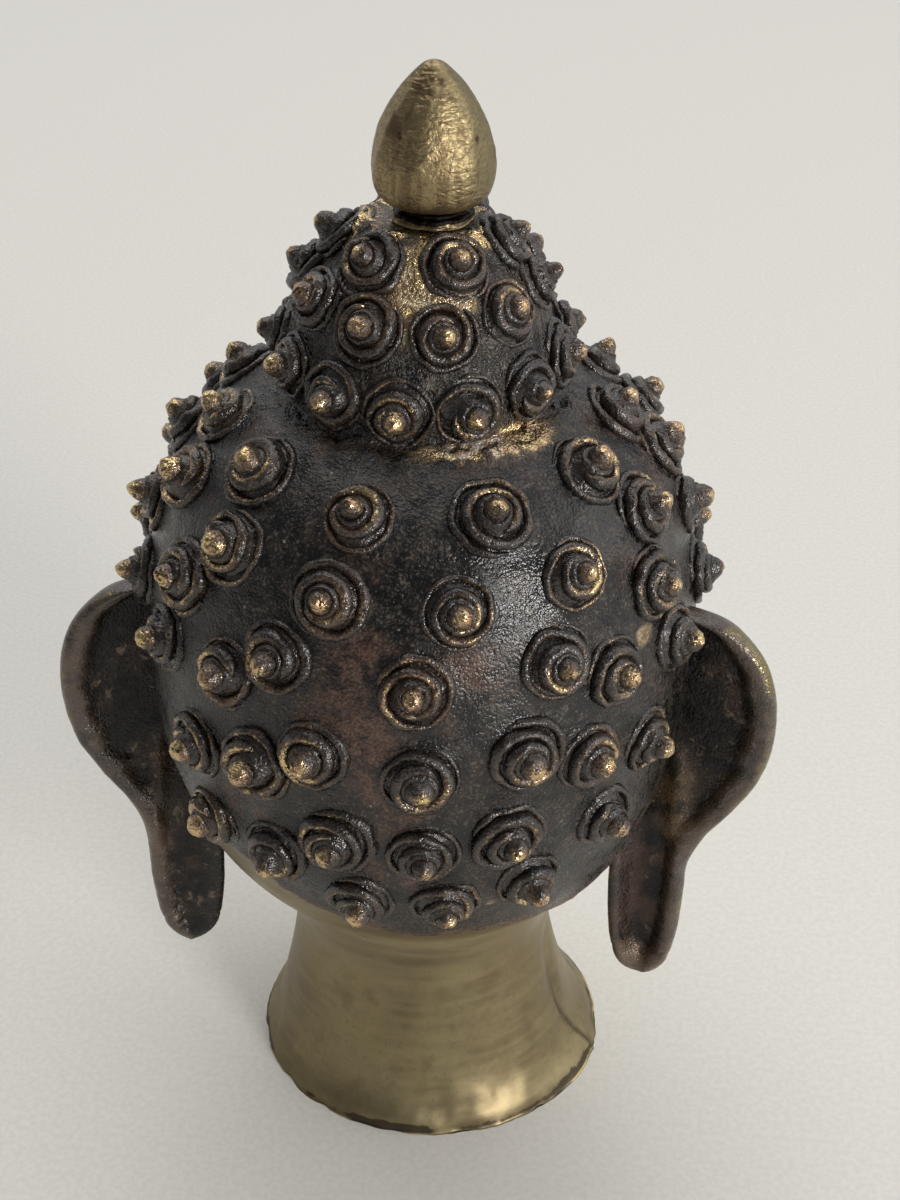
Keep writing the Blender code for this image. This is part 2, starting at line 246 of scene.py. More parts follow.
def curl_places():
    """Where each curl sits: a point on the skin, its normal, and whether it is on the top-knot."""
    places = []
    for height, count, first, rise, lift in CURL_ROWS:
        on_top_knot = height > RINGS[TOP_KNOT_RING][0]
        rings = (TOP_KNOT_RING, TOP_RING) if on_top_knot else (HAIR_RING, TOP_KNOT_RING - 0.5)
        for k in range(count):
            back = radians(first) + k * tau / count
            aside = (back - CURLS_MIDDLE + pi) % tau - pi
            level = height + rise * sin(aside) ** 2 + lift * bump(abs(aside), BEHIND_EAR, BEHIND_EAR_REACH)
            turn = pi + back
            t = ring_at_height(turn, level, *rings)
            point = skin(turn, t)[0]
            clear = point[2] > HAIRLINE_MIDDLE - HAIRLINE_SLOPE * point[1] + HAIRLINE_MARGIN
            beside_ear = EAR_TURN[0] < abs(aside) < EAR_TURN[1] and level < EAR_TOP
            if clear and not beside_ear:
                places.append((point, skin_normal(turn, t)[0], on_top_knot))
    return places


places = curl_places()

# The hair's lower edge: angle behind, towards the right ear, and height
HAIR_EDGE = (
    (-180, 110.7), (-150, 107), (-120, 97.3), (-90, 84), (-60, 77), (-40, 71), (-26, 66), (-17, 62.8),
    (-5, 58.4), (4, 57), (20, 56), (32, 55.4), (43, 55.6), (50, 58), (60, 65), (75, 77), (90, 84),
    (120, 97.3), (150, 107), (180, 110.7),
)
HAIR_THICK = 0.75
TOP_KNOT_FOOT = 130.5
# The seam down the right side of the neck: height and angle behind
NECK_SEAM = ((2.2, 82), (6.5, 78.5), (10, 76), (20, 78.5), (26.5, 80.6))
# Chips along the foot: angle behind, reach in degrees and depth
FOOT_CHIPS = (
    (-13, 7, 0.9), (-4, 4, 0.7), (5, 6, 0.5), (19, 5, 0.8), (27, 6, 1.0), (38, 4, 0.8), (49, 7, 1.0),
    (62, 5, 0.8), (-31, 5, 0.7), (-52, 6, 0.9), (-75, 5, 0.8), (95, 6, 0.9), (130, 7, 0.8), (-120, 8, 0.9),
)
# Marks on the patina, each where it is and how far it reaches: pale ones, rubbed to red brown, rubbed glossy
PALE_MARKS = (((-33.6, 24.6, 104.9), 1.7), ((-14.4, 39.4, 66.7), 0.7), ((9.5, 35.5, 121.0), 0.5))
RED_MARKS = (
    ((5.5, 40.8, 110.4), 5), ((4.5, 44.2, 98.3), 7.5), ((12.3, 39.3, 117.0), 4), ((-10.1, 40.7, 109.0), 3.5),
    ((-22.0, 36.0, 108.0), 4), ((-2.0, 44.0, 88.0), 5), ((20.0, 38.0, 86.0), 5), ((-6.0, 39.0, 72.0), 5),
)
GLOSSY_MARKS = (((-22.5, 34.0, 117.0), 12),)


def near_marks(points, marks, out_to, full_from, ragged=1):
    """How near points are to marks: nothing beyond the share out_to of a mark's reach, one within full_from."""
    near = np.zeros(len(points))
    for place, reach in marks:
        away = np.linalg.norm(points - np.array(place), axis=1) * ragged
        near = np.maximum(near, smooth(out_to * reach, full_from * reach, away))
    return near


def spread(edges, spacings):
    """Values that run through edges, each stretch stepped by about its spacing."""
    steps = []
    for low, high, spacing in zip(edges, edges[1:], spacings):
        count = max(1, round((high - low) / spacing))
        steps.extend(low + (high - low) * k / count for k in range(count))
    return np.array([*steps, edges[-1]])


# The net of points is finest over the face and the back, from ring to ring at the foot and the top-knot's foot
COLUMN_EDGES = (0, radians(48), radians(75), pi)
COLUMN_STEPS = (radians(0.72), radians(1.1), radians(1.5))
ROW_EDGES = (0, 0.25, 2.5, 4.2, 9.6, 12.4, 14, TOP_RING)
ROW_STEPS = (0.05, 0.1, 0.08, 0.052, 0.08, 0.09, 0.09)

half_round = spread(COLUMN_EDGES, COLUMN_STEPS)
turns = np.concatenate((half_round, -half_round[-2:0:-1]))
levels = spread(ROW_EDGES, ROW_STEPS)
turn_grid, level_grid = (grid.ravel() for grid in np.meshgrid(turns, levels))
outer = skin(turn_grid, level_grid)
up = outer[:, 2]
behind = np.degrees(np.arctan2(-outer[:, 0], outer[:, 1]))
above_edge = up - np.interp(behind, *zip(*HAIR_EDGE)) - lumps(outer, (1.5, 9, 1), (0.5, 2.2, 2))
hair = smooth(-0.25, 0.35, above_edge)
metal = 1 - hair
to_curl = np.min([np.linalg.norm(outer - point, axis=1) for point, _, _ in places], axis=0)
seam = np.radians(behind - np.interp(up, *zip(*NECK_SEAM))) * np.hypot(outer[:, 0], outer[:, 1])
on_seam = smooth(27.5, 24, up)

# Bright brass where the top-knot and the bud were brazed on; behind at the top-knot's foot the solder is
# palest, a pale pink painted highlight
torn = smooth(-0.6, 0.05, lumps(outer, (1, 2.2, 5), (0.6, 0.9, 6)))
joint = bump(up, TOP_KNOT_FOOT, 0.55) * np.maximum(bump(behind, 26, 20), 0.25 * bump(behind, -150, 60))
under_bud = 0.9 * smooth(152.6, 155, up) * smooth(-0.35, 0.15, noise_at(outer, 3, 17))
patch = bump(up, TOP_KNOT_FOOT + 0.5, 1.35) * bump(behind, 45, 10)
gold = np.clip(1.5 * torn * (joint + under_bud) + (0.75 + 0.7 * torn) * patch, 0, 1)
# painted highlight: a pale pink glint on the solder behind the top-knot's foot
painted_solder_glint = bump(up, TOP_KNOT_FOOT + 0.1, 0.9) * bump(behind, 24, 11) * smooth(-0.3, 0.1, noise_at(outer, 1.5, 30))

# Where the patina is rubbed: to dull brass between the upper curls and at the pale marks, to red, and glossy
ragged = lumps(outer, (0.25, 3, 18), (0.12, 1, 19))
bare = smooth(0.32, 0.62, bump(up, 150.2, 5.6) * bump(behind, 3, 30) + ragged)
bare = np.maximum(bare, 0.9 * near_marks(outer, PALE_MARKS, 1, 0.75, 1 + 0.6 * ragged))
at_curls = bump(to_curl, CURL_RADIUS + 0.1, 0.7) * smooth(-0.1, 0.3, noise_at(outer, 2, 20))
gold = np.maximum(gold, 0.75 * bare * at_curls)
red = near_marks(outer, RED_MARKS, 1.25, 0.5, 1 + lumps(outer, (0.7, 5, 25), (0.35, 1.8, 26)))
polished = near_marks(outer, GLOSSY_MARKS, 1, 1 / 3, 1 + 0.4 * noise_at(outer, 5, 28))

# Relief: the hair's edge, the ground round the curls, the braze and the seam, then lumps, each in its place
lift = HAIR_THICK * hair + 0.22 * hair * bump(above_edge, 0.9, 0.8) * (1 + noise_at(outer, 1.6, 7))
lift += hair * 0.35 * np.clip(1 - (to_curl - CURL_RADIUS + 0.6) / 1.4, 0, 1) * (to_curl > 4)
lift += 0.4 * gold * (0.7 + noise_at(outer, 1.1, 11))
lift += on_seam * (0.35 * bump(seam, -0.5, 0.45) - 0.45 * bump(seam, 0.25, 0.3))
lift -= 0.9 * between(up, 6, 18, 23, 29) * bump(seam, 1.0, 2.2)
crumbs = bump(up, TOP_KNOT_FOOT - 0.2, 1.8) + 0.5 * smooth(128, 132, up) + 0.7 * smooth(149, 153, up)
dents = metal * smooth(19, 8, up)
battered = metal * bump(behind, 26, 15) * bump(up, 6, 5)
for where, layers in (
    (hair, ((0.16, 14, 3), (0.12, 4, 4), (0.09, 1.4, 8))),
    (metal, ((0.12, 16, 9), (0.03, 3, 10))),
    (crumbs, ((0.3, 1.2, 21), (0.25, 2.6, 22))),
    (battered, ((0.3, 3.4, 31), (0.1, 1.4, 32))),
    (dents, ((0.38, 8, 23), (0.14, 4.2, 29), (0.09, 2.2, 24))),
):
    lift += where * lumps(outer, *layers)
chips = sum(depth * bump(behind, angle, reach) for angle, reach, depth in FOOT_CHIPS)
lift -= smooth(2.2, 0.3, up) * (0.5 * chips + 0.22 * (1 + noise_at(outer, 1.7, 12)))
outer_skin = outer + skin_normal(turn_grid, level_grid) * lift[:, None]

# Dark oxide along the foot: a line all round, and wider stains behind, on the left and on the right
oxide = 0.42 * bump(up, 0.75, 0.5) * (1 + 0.7 * noise_at(outer, 7, 15))
oxide += 0.62 * smooth(2.6, 0.9, up) * between(behind, -24, -18, 5, 12)
oxide += 0.5 * smooth(3.2, 0.6, up) * bump(behind, -82, 12) + 0.5 * smooth(3.0, 0.6, up) * bump(behind, 66, 16)
oxide = np.clip(oxide + 0.3 * battered, 0, 1)

facing = np.clip(np.cos(turn_grid), 0, 1)
on_face = smooth(112, 106, up) * (facing > 0)
outer_skin[:, 1] -= np.sqrt(facing) * on_face * face_relief(outer[:, 0], up)
# painted shade laid in the face's creases
painted_crease_shade = 0.8 * on_face * face_hollows(outer[:, 0], up)
outer_skin[:, 2] = np.maximum(outer_skin[:, 2], 0)

# The core inside, from its crown down to the foot, and a cap over the top-knot that the bud stands on
CORE_ROWS = 36
CORE_FOOT = 0.5
CAP_SHARES = (0.8, 0.6, 0.4, 0.2)

core_levels = np.linspace(0, TOP_RING - 1, CORE_ROWS)[::-1]
core_turns, core_grid = (grid.ravel() for grid in np.meshgrid(turns, core_levels))
core_normal = skin_normal(core_turns, core_grid)
core = skin(core_turns, core_grid) - core_normal * WALL
core_low = core_grid < CORE_FOOT
core[core_low, 2] *= core_grid[core_low] / CORE_FOOT
core += core_normal * (0.35 * noise_at(core, 5, 13) * smooth(0.3, 1, core_grid))[:, None]
columns = len(turns)
seat = outer_skin[-columns:]
seat_middle = seat.mean(0)
cap = np.concatenate([seat_middle + (seat - seat_middle) * share for share in CAP_SHARES])
cap[:, 2] = np.minimum(cap[:, 2], RINGS[-1][0]) + 0.12 * noise_at(cap, 1.5, 16)
shell_points = np.concatenate((core, outer_skin, cap, [core[:columns].mean(0), seat_middle]))


def tube(rows, columns):
    """Faces of a tube of rings of points, outward when the rings climb and run towards the left ear."""
    low = np.arange(rows - 1)[:, None] * columns + np.arange(columns)
    beyond = np.roll(low, -1, axis=1)
    return np.stack((low, beyond, beyond + columns, low + columns), 2).reshape(-1, 4).tolist()


def fan(first, columns, middle):
    """Triangles from a ring, by its first point's number, to one point in its middle."""
    return [(first + k, first + (k + 1) % columns, middle) for k in range(columns)]


def closed_tube(rows, columns):
    """A tube closed by two more points, the one below its first ring and then the one above its last."""
    low = rows * columns
    below = [face[::-1] for face in fan(0, columns, low)]
    return tube(rows, columns) + below + fan(low - columns, columns, low + 1)


def over_shell(values, on_cap=0.0, in_core=0.0):
    """A mask of the outer skin carried over all of the shell's points."""
    inside, on_top = np.full(len(core), in_core), np.full(len(cap), on_cap)
    return np.concatenate((inside, values, on_top, (in_core, on_cap)))


shell_masks = {name: over_shell(values) for name, values in {
    "painted_solder_glint": painted_solder_glint, "bare": bare, "red": red, "polished": polished, "foot": oxide,
    # painted light: the neck just under the hair is painted paler and made less metallic, standing in for light
    # there
    "painted_light_under_hair": bump(up, 42, 11) * metal,
    "fringe": bump(above_edge, 0.5, 1.3) * smooth(70, 64, up),
    # curl_edge marks each curl's root, darkened there as dirt and painted shade
    "curl_edge": hair * smooth(1.6, 0, np.abs(to_curl - CURL_RADIUS)),
    "lip": smooth(0.42, 0.2, up) * smooth(-0.3, 0.1, noise_at(outer, 6, 14)),
    # the seam mask: the dark seam down the neck, and painted shade in the face's creases
    "seam": np.maximum(on_seam * bump(seam, 0.3, 0.5), painted_crease_shade),
    "top_knot": smooth(128, 133, up),
}.items()}
shell_masks["hair"] = over_shell(hair, on_cap=1)
shell_masks["gold"] = over_shell(gold, on_cap=0.4)
shell_masks["inside"] = over_shell(np.zeros(len(outer)), in_core=1)


def new_mesh(name, points, faces, masks):
    """A smooth mesh in metres from points in millimetres, with its masks as point attributes."""
    mesh = bpy.data.meshes.new(name)
    mesh.from_pydata((points * MM).tolist(), [], faces)
    for mask, values in masks.items():
        layer = mesh.attributes.new(mask, "FLOAT", "POINT")
        layer.data.foreach_set("value", np.asarray(values, np.float32))
    mesh.shade_smooth()
    mesh.update()
    return mesh


def stand(name, data):
    """An object of this data, in the scene."""
    made = bpy.data.objects.new(name, data)
    bpy.context.scene.collection.objects.link(made)
    return made


def piece(name, mesh, finish, node):
    """An object of this mesh that stands for a node of the frame."""
    mesh.materials.append(finish)
    made = stand(name, mesh)
    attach(made, "root")
    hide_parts(node)


class Shading:
    """Writes the nodes of a material or a group, each placed by a short call."""

    def __init__(self, tree):
        self.tree = tree

    def fill(self, node, inputs):
        """Gives each input a link, the name of a mask, a number, a vector or a colour."""
        for name, value in inputs.items():
            socket = node.inputs[name]
            if isinstance(value, str):
                value = self.node("ShaderNodeAttribute", {}, attribute_name=value).outputs["Fac"]
            if isinstance(value, bpy.types.NodeSocket):
                self.tree.links.new(value, socket)
            else:
                socket.default_value = (*value, 1) if socket.type == "RGBA" else value

    def node(self, kind, inputs, **settings):
        made = self.tree.nodes.new(kind)
        for name, value in settings.items():
            setattr(made, name, value)
        self.fill(made, inputs)
        return made

    def use(self, group, **inputs):
        return self.node("ShaderNodeGroup", inputs, node_tree=group).outputs

    def place(self, kind="Object"):
        return self.node("ShaderNodeTexCoord", {}).outputs[kind]

    def stretch(self, vector, scale, turn=(0, 0, 0)):
        inputs = {"Vector": vector, "Rotation": turn, "Scale": scale}
        return self.node("ShaderNodeMapping", inputs).outputs["Vector"]

    def cloud(self, vector, size, detail, rough=0.55, warp=0):
        """Noise whose lumps are about size metres across."""
        return self.node("ShaderNodeTexNoise", {
            "Vector": vector, "Scale": 1 / size, "Detail": detail, "Roughness": rough, "Distortion": warp,
        }).outputs["Fac"]

    def ramp(self, value, low, high, start=0, end=1):
        """From start at low to end at high, easing at both ends."""
        return self.node("ShaderNodeMapRange", {
            "Value": value, "From Min": low, "From Max": high, "To Min": start, "To Max": end,
        }, interpolation_type="SMOOTHSTEP").outputs["Result"]

    def maths(self, kind, first, second, clamp=False):
        return self.node("ShaderNodeMath", {0: first, 1: second}, operation=kind, use_clamp=clamp).outputs[0]

    def plus(self, first, second):
        return self.maths("ADD", first, second)

    def less(self, first, second):
        return self.maths("SUBTRACT", first, second)

    def times(self, first, *others):
        for other in others:
            first = self.maths("MULTIPLY", first, other)
        return first

    def blend(self, factor, under, over, kind="RGBA"):
        inputs = {"Factor": factor, "A": under, "B": over}
        return self.node("ShaderNodeMix", inputs, data_type=kind).outputs["Result"]

    def coats(self, colour, *coats):
        """Coats laid on a colour, one over another: each coat's colour, then the masks of where it shows."""
        for over, *masks in coats:
            colour = self.blend(self.times(*masks), colour, over)
        return colour

    def specks(self, vector, size, share, radius):
        """Small round specks in a share of the cells of a pattern."""
        cells = self.node("ShaderNodeTexVoronoi", {"Vector": vector, "Scale": 1 / size}, feature="F1").outputs
        chosen = self.node("ShaderNodeSeparateColor", {"Color": cells["Color"]}).outputs["Red"]
        round_specks = self.ramp(cells["Distance"], radius, radius * 0.45)
        return self.times(self.ramp(chosen, 1 - share, 1 - 0.8 * share), round_specks)

    def scratches(self, vector, turn, width, length):
        """Thin straight scratches along one direction, in patches."""
        lines = self.cloud(self.stretch(vector, (1, 1, width / length), turn), width, 1, 0.5)
        patches = self.cloud(vector, length * 0.8, 2)
        return self.times(self.ramp(lines, 0.7, 0.78), self.ramp(patches, 0.5, 0.6))

    def relief(self, height, depth):
        """The normal of a relief whose height of one stands depth metres out."""
        inputs = {"Height": height, "Strength": 1, "Distance": depth}
        return self.node("ShaderNodeBump", inputs).outputs["Normal"]


def group(name, inputs, outputs):
    """A node group with named sockets: its tree, its shading, what is given to it and its end node."""
    tree = bpy.data.node_groups.new(name, "ShaderNodeTree")
    kinds = {"Place": "Vector", "Bands": "Vector", "Color": "Color"}
    for sockets, way in ((inputs, "INPUT"), (outputs, "OUTPUT")):
        for socket in sockets.split():
            tree.interface.new_socket(socket, in_out=way, socket_type="NodeSocket" + kinds.get(socket, "Float"))
    s = Shading(tree)
    return tree, s, s.node("NodeGroupInput", {}).outputs, s.node("NodeGroupOutput", {})


def finish(name):
    """A material with a Principled shader: the material, its shading and the shader."""
    made = bpy.data.materials.new(name)
    made.use_nodes = True
    return made, Shading(made.node_tree), made.node_tree.nodes["Principled BSDF"]


# Dark patina over brass: near black, rubbed to red brown in clouds, with pale grains, dust and scratches
near_black, brown_black = (0.003, 0.0029, 0.0031), (0.018, 0.0145, 0.012)
red_brown, pale_grain = (0.088, 0.044, 0.029), (0.12, 0.092, 0.068)
pale_scratch, pale_dust = (0.19, 0.16, 0.13), (0.36, 0.32, 0.27)
patina_group, s, given, end = group("dark patina", "Place Rubbed Dust", "Color Roughness Height")
where = given["Place"]
broad = s.cloud(where, 0.013, 2, 0.6)
middle = s.cloud(where, 0.0026, 3, 0.72)
grain = s.cloud(where, 0.00042, 1, 0.6)
s.fill(end, {
    "Color": s.coats(
        s.blend(s.ramp(middle, 0.4, 0.6), near_black, brown_black),
        (red_brown, s.maths("ADD", s.ramp(broad, 0.54, 0.66, 0, 0.45), given["Rubbed"], clamp=True),
         s.times(s.ramp(middle, 0.34, 0.56, 0.2, 1), s.ramp(grain, 0.36, 0.52, 0.45, 1))),
        (pale_grain, s.ramp(grain, 0.53, 0.68), s.ramp(middle, 0.36, 0.62, 0.1, 0.7)),
        (pale_scratch, s.scratches(where, (0.4, 0.9, 0.3), 0.0002, 0.0045), s.ramp(broad, 0.45, 0.6, 0.2, 0.9)),
        (pale_dust, s.specks(where, 0.0011, 0.03, 0.3), s.ramp(grain, 0.42, 0.56), given["Dust"]),
    ),
    "Roughness": s.ramp(s.plus(middle, s.times(grain, 0.7)), 0.65, 1.1, 0.19, 0.43),
    "Height": s.plus(s.times(grain, 0.52), s.times(middle, 0.68)),
})

# Where the patina has worn through: first to a brown skin and then to bare metal, in grains and torn edges
copper, yellow_brass = (0.48, 0.31, 0.19), (0.64, 0.49, 0.25)
worn_group, s, given, end = group("worn through", "Place Wear", "Brown Mask Color")
grain = s.cloud(given["Place"], 0.00034, 2, 0.7)
patch = s.cloud(given["Place"], 0.0019, 2, 0.6)
level = s.plus(given["Wear"], s.less(s.plus(s.times(grain, 1.2), s.times(patch, 0.8)), 1))
s.fill(end, {
    "Brown": s.ramp(level, 0.16, 0.52),
    "Mask": s.ramp(level, 0.46, 0.74),
    "Color": s.blend(s.ramp(patch, 0.38, 0.6), copper, yellow_brass),
})

# Bare brass that has dulled: olive, with soft bands from the brush, brown and green clouds and a few spots
brown_brass, olive_brass, bright_band = (0.165, 0.126, 0.071), (0.305, 0.256, 0.142), (0.36, 0.3, 0.165)
brown_cloud, dark_grain, dark_spot = (0.15, 0.102, 0.06), (0.1, 0.078, 0.05), (0.05, 0.038, 0.026)
brushed_group, s, given, end = group("dulled brass", "Place Bands", "Color Roughness Height")
where = given["Place"]
clouds = s.cloud(where, 0.016, 3, 0.62)
bands = s.cloud(given["Bands"], 0.0018, 2, 0.6)
grain = s.cloud(where, 0.0006, 2, 0.65)
s.fill(end, {
    "Color": s.coats(
        s.blend(s.ramp(clouds, 0.33, 0.66), brown_brass, olive_brass),
        (bright_band, s.ramp(bands, 0.35, 0.7, 0, 0.35)),
        (brown_cloud, s.ramp(s.cloud(where, 0.008, 3, 0.65), 0.46, 0.7, 0, 0.5)),
        (dark_grain, s.ramp(grain, 0.55, 0.8, 0, 0.4)),
        (dark_spot, s.specks(where, 0.004, 0.12, 0.07)),
    ),
    "Roughness": s.plus(s.ramp(clouds, 0.3, 0.7, 0.38, 0.5), s.ramp(bands, 0.3, 0.7, -0.04, 0.05)),
    "Height": s.plus(s.times(bands, 0.5), s.times(grain, 0.5)),
})

# The casting's finish: the hair dark, with dirt and painted shade round the curls, brazed and rubbed places, a
# painted highlight on the solder, painted light on the neck under the hair and painted shade in the face's
# creases, the rest bright
dirt_and_shade_black, crust_brown, red_fringe = (0.006, 0.0055, 0.0053), (0.075, 0.057, 0.04), (0.15, 0.08, 0.045)
oxide_brown, lip_brass, painted_light_brass = (0.055, 0.039, 0.031), (0.62, 0.5, 0.24), (0.42, 0.345, 0.21)
seam_dirt_and_crease_shade, cast_skin, painted_glint_pink = (0.045, 0.032, 0.022), (0.045, 0.034, 0.024), (0.8, 0.7, 0.62)
rubbed_brass, rubbed_brown, worn_brown = (0.62, 0.5, 0.31), (0.27, 0.18, 0.105), (0.13, 0.088, 0.05)
casting_finish, s, shader = finish("patina and bare brass")
where = s.place()
patina = s.use(patina_group, Place=where, Rubbed=s.times("red", 0.9), Dust=0.6)
brass = s.use(brushed_group, Place=where, Bands=s.stretch(where, (0.1, 0.1, 1)))
worn = s.use(worn_group, Place=where, Wear=s.times("gold", 1.15))
torn_skin = s.ramp(patina["Height"], 0.5, 0.7)
crust = s.times("top_knot", torn_skin)
show = s.ramp("gold", 0.03, 0.2)
shining = s.times(worn["Mask"], show)
dark = s.coats(
    patina["Color"],
    # dirt and painted shade: near black round each curl's root
    (dirt_and_shade_black, "curl_edge", s.ramp(torn_skin, 0, 1, 0.9, 0.3)),
    (crust_brown, crust, 0.55),
)
bright = s.coats(
    brass["Color"],
    (oxide_brown, s.ramp(s.plus("foot", s.cloud(where, 0.0032, 3, 0.7)), 0.86, 1.08, 0, 0.85)),
    (lip_brass, "lip"),
    # painted light: paler brass on the neck under the hair
    (painted_light_brass, "painted_light_under_hair", 0.5),
    # dirt along the neck's seam, and painted shade in the face's creases
    (seam_dirt_and_crease_shade, "seam", 0.85),
    (cast_skin, "inside"),
)
shine = s.ramp(s.less(s.less(1, "hair"), s.times("painted_light_under_hair", 0.45)), 0, 1, 0.1, 0.93)
shine = s.maths("MAXIMUM", s.maths("MAXIMUM", shine, shining), s.times("bare", 0.75))
rough = s.blend("hair", brass["Roughness"], patina["Roughness"], "FLOAT")
height = s.blend("hair", s.times(brass["Height"], 0.1), patina["Height"], "FLOAT")
s.fill(shader, {
    "Base Color": s.coats(
        s.blend("hair", bright, dark),
        (red_fringe, "fringe", s.ramp(torn_skin, 0, 1, 0.35, 0.9)),
        (s.blend(torn_skin, rubbed_brass, rubbed_brown), "bare", 0.9),
        (worn_brown, worn["Brown"], show, 0.8),
        # painted highlight: the solder's glint painted pale pink, and made less metallic below
        (s.blend("painted_solder_glint", worn["Color"], painted_glint_pink), shining),
    ),
    "Metallic": s.maths("SUBTRACT", shine, s.times("painted_solder_glint", 0.6), clamp=True),
    "IOR": 1.52,
    "Roughness": s.less(rough, s.plus(s.times(shining, 0.16), s.times("polished", 0.18))),
    "Normal": s.relief(s.plus(height, s.times(crust, 0.5)), 0.25 * MM),
})

rows = CORE_ROWS + len(levels) + len(CAP_SHARES)
shell_mesh = new_mesh("casting", shell_points, closed_tube(rows, columns), shell_masks)
piece("casting", shell_mesh, casting_finish, "head")


# The curls: wires of wax wound into little snail shells and stuck on the wax head one by one, each an outer
# ring that steps over into an inner coil and ends in a tall knob. They are cast with the head, in its patina,
# and their tips and edges are rubbed to gold.
CURL_HEIGHT = 5.8
TOP_KNOT_CURL_RADIUS = 4.8
TOP_KNOT_CURL_HEIGHT = 5.2
KNOB_SHARE = 0.87
CURL_SEED = 9407

# The wire's way in, in turns: how far out its middle lies, how high, and its half thickness, in shares of the
# curl's radius
COIL_TURNS = (0, 0.78, 1.14, 1.8, 2.4)
COIL_OUT = (0.925, 0.895, 0.69, 0.57, 0.35)
COIL_UP = (0.0, 0.04, 0.22, 0.31, 0.48)
COIL_HALF = (0.1, 0.12, 0.15, 0.155, 0.11)
WIRE_STEPS = 108
WIRE_SIDES = 12
# The mound that the wire lies on: out from the knob, and up
MOUND_OUT = (0, 0.3, 0.4, 0.5, 0.62, 0.8, 0.96, 1.04, 1.13)
MOUND_UP = (0.62, 0.52, 0.42, 0.32, 0.18, 0.02, -0.06, -0.17, -0.22)
MOUND_COLUMNS = 48
KNOB_FOOT = 0.52


def ring_noise(angles, size, seed):
    """Lumps round a ring that meet at its ends."""
    return np.array([noise.noise(Vector((cos(a) * size, sin(a) * size, seed))) for a in angles])


def averaged(values, reach, ends="edge"):
    """Values evened out over some neighbours each way."""
    width = 2 * reach + 1
    return np.convolve(np.pad(values, reach, ends), np.ones(width) / width, "valid")


def wire(rng, lean, seed):
    """The wire of a curl as rings of points along its way in, its faces, and how worn each point is."""
    wide, inner = rng.uniform(-0.03, 0.04), rng.uniform(-0.07, 0.03)
    turn = np.linspace(0, rng.uniform(1.72, COIL_TURNS[-1]), WIRE_STEPS)
    angle = -turn * tau
    out, up, half = (np.interp(turn, COIL_TURNS, values) for values in (COIL_OUT, COIL_UP, COIL_HALF))
    out, up = averaged(out, 4), averaged(up, 4)
    out += wide * (turn < 1) + inner * smooth(0.95, 1.2, turn)
    out *= 1 + 0.05 * ring_noise(angle, 0.8, seed)
    along_wire = np.stack((turn * 9, turn * 0, turn * 0), 1)
    half *= 1 + lumps(along_wire, (0.42, 2.8, seed), (0.1, 1, seed))
    half = averaged(half * np.where(turn < 0.95, rng.uniform(0.7, 1.15), rng.uniform(0.9, 1.12)), 4)
    half = half * np.sqrt(smooth(-0.02, 0.1, turn) * smooth(0, 0.12, turn[-1] - turn) * 0.9 + 0.1)
    round_wire = np.arange(WIRE_SIDES) * tau / WIRE_SIDES
    rise = np.sin(round_wire)
    reach = out[:, None] + half[:, None] * np.cos(round_wire)
    follow = smooth(0.85, 1.25, turn)[:, None]
    points = np.stack((
        reach * np.cos(angle)[:, None] + lean[0] * follow,
        reach * np.sin(angle)[:, None] + lean[1] * follow,
        up[:, None] + half[:, None] * (1.05 * rise + 0.16 * np.clip(rise, 0, 1) ** 3),
    ), 2).reshape(-1, 3)
    crest = np.clip(np.sin(round_wire - 0.25), 0, 1) ** 4
    rub = (0.31 + 0.12 * turn) * (1 + 0.5 * noise_at(along_wire, 1.6, seed + 2))
    sides = list(range(WIRE_SIDES))
    ends = [sides[::-1], [(WIRE_STEPS - 1) * WIRE_SIDES + side for side in sides]]
    return points, tube(WIRE_STEPS, WIRE_SIDES) + ends, np.outer(rub, crest).ravel()


def knob_and_mound(lean, knob_half, knob_up):
    """The knob of a curl and the low mound under its wire, closed below, and how worn each point is."""
    mound_reach = np.linspace(MOUND_OUT[-1], knob_half + 0.03, 13)
    knob_reach = knob_half * np.cos(np.linspace(0, 1.45, 10))
    reach = np.repeat(np.concatenate((mound_reach, knob_reach)), MOUND_COLUMNS)
    rows = len(reach) // MOUND_COLUMNS
    angle = np.tile(np.arange(MOUND_COLUMNS) * tau / MOUND_COLUMNS, rows)
    high = np.interp(reach, MOUND_OUT, MOUND_UP) + 0.14 * bump(reach, knob_half, 0.13)
    share = np.clip(1 - (reach / knob_half) ** 2, 0, 1)
    on_knob = reach <= knob_half + 1e-6
    high = np.where(on_knob, KNOB_FOOT + (knob_up - KNOB_FOOT) * share**0.6, high)
    follow = 1 - smooth(0.45, 0.95, reach)
    points = np.stack((reach * np.cos(angle), reach * np.sin(angle), high), 1)
    points[:, :2] += np.outer(follow, lean)
    faces = tube(rows, MOUND_COLUMNS) + fan((rows - 1) * MOUND_COLUMNS, MOUND_COLUMNS, len(points))
    faces.append(list(range(MOUND_COLUMNS))[::-1])
    wear = np.append(np.where(on_knob, 0.27 + 0.63 * share**1.8, 0.0), 0.9)
    return np.concatenate((points, [[*lean, knob_up]])), faces, wear


def curl(rng, knob_up):
    """The points, the faces and the wear of one curl on a flat ground, in shares of its radius."""
    seed = rng.integers(1, 60)
    lean_by, lean_to = rng.uniform(0.0, 0.09), rng.random() * tau
    lean = (lean_by * cos(lean_to), lean_by * sin(lean_to))
    base, base_faces, base_wear = knob_and_mound(lean, rng.uniform(0.31, 0.38), knob_up)
    coil, coil_faces, coil_wear = wire(rng, lean, seed)
    points = np.concatenate((base, coil))
    points[:, 2] += lumps(points, (0.07, 0.42, seed), (0.045, 0.14, seed)) * (points[:, 2] > -0.1)
    points[:, :2] *= 1 + 0.07 * noise_at(points, 0.5, seed + 1)[:, None]
    worn_side = 1 + 0.35 * np.cos(np.arctan2(points[:, 1], points[:, 0]) - rng.random() * tau)
    faces = base_faces + [[corner + len(base) for corner in face] for face in coil_faces]
    return points, faces, np.concatenate((base_wear, coil_wear)) * worn_side


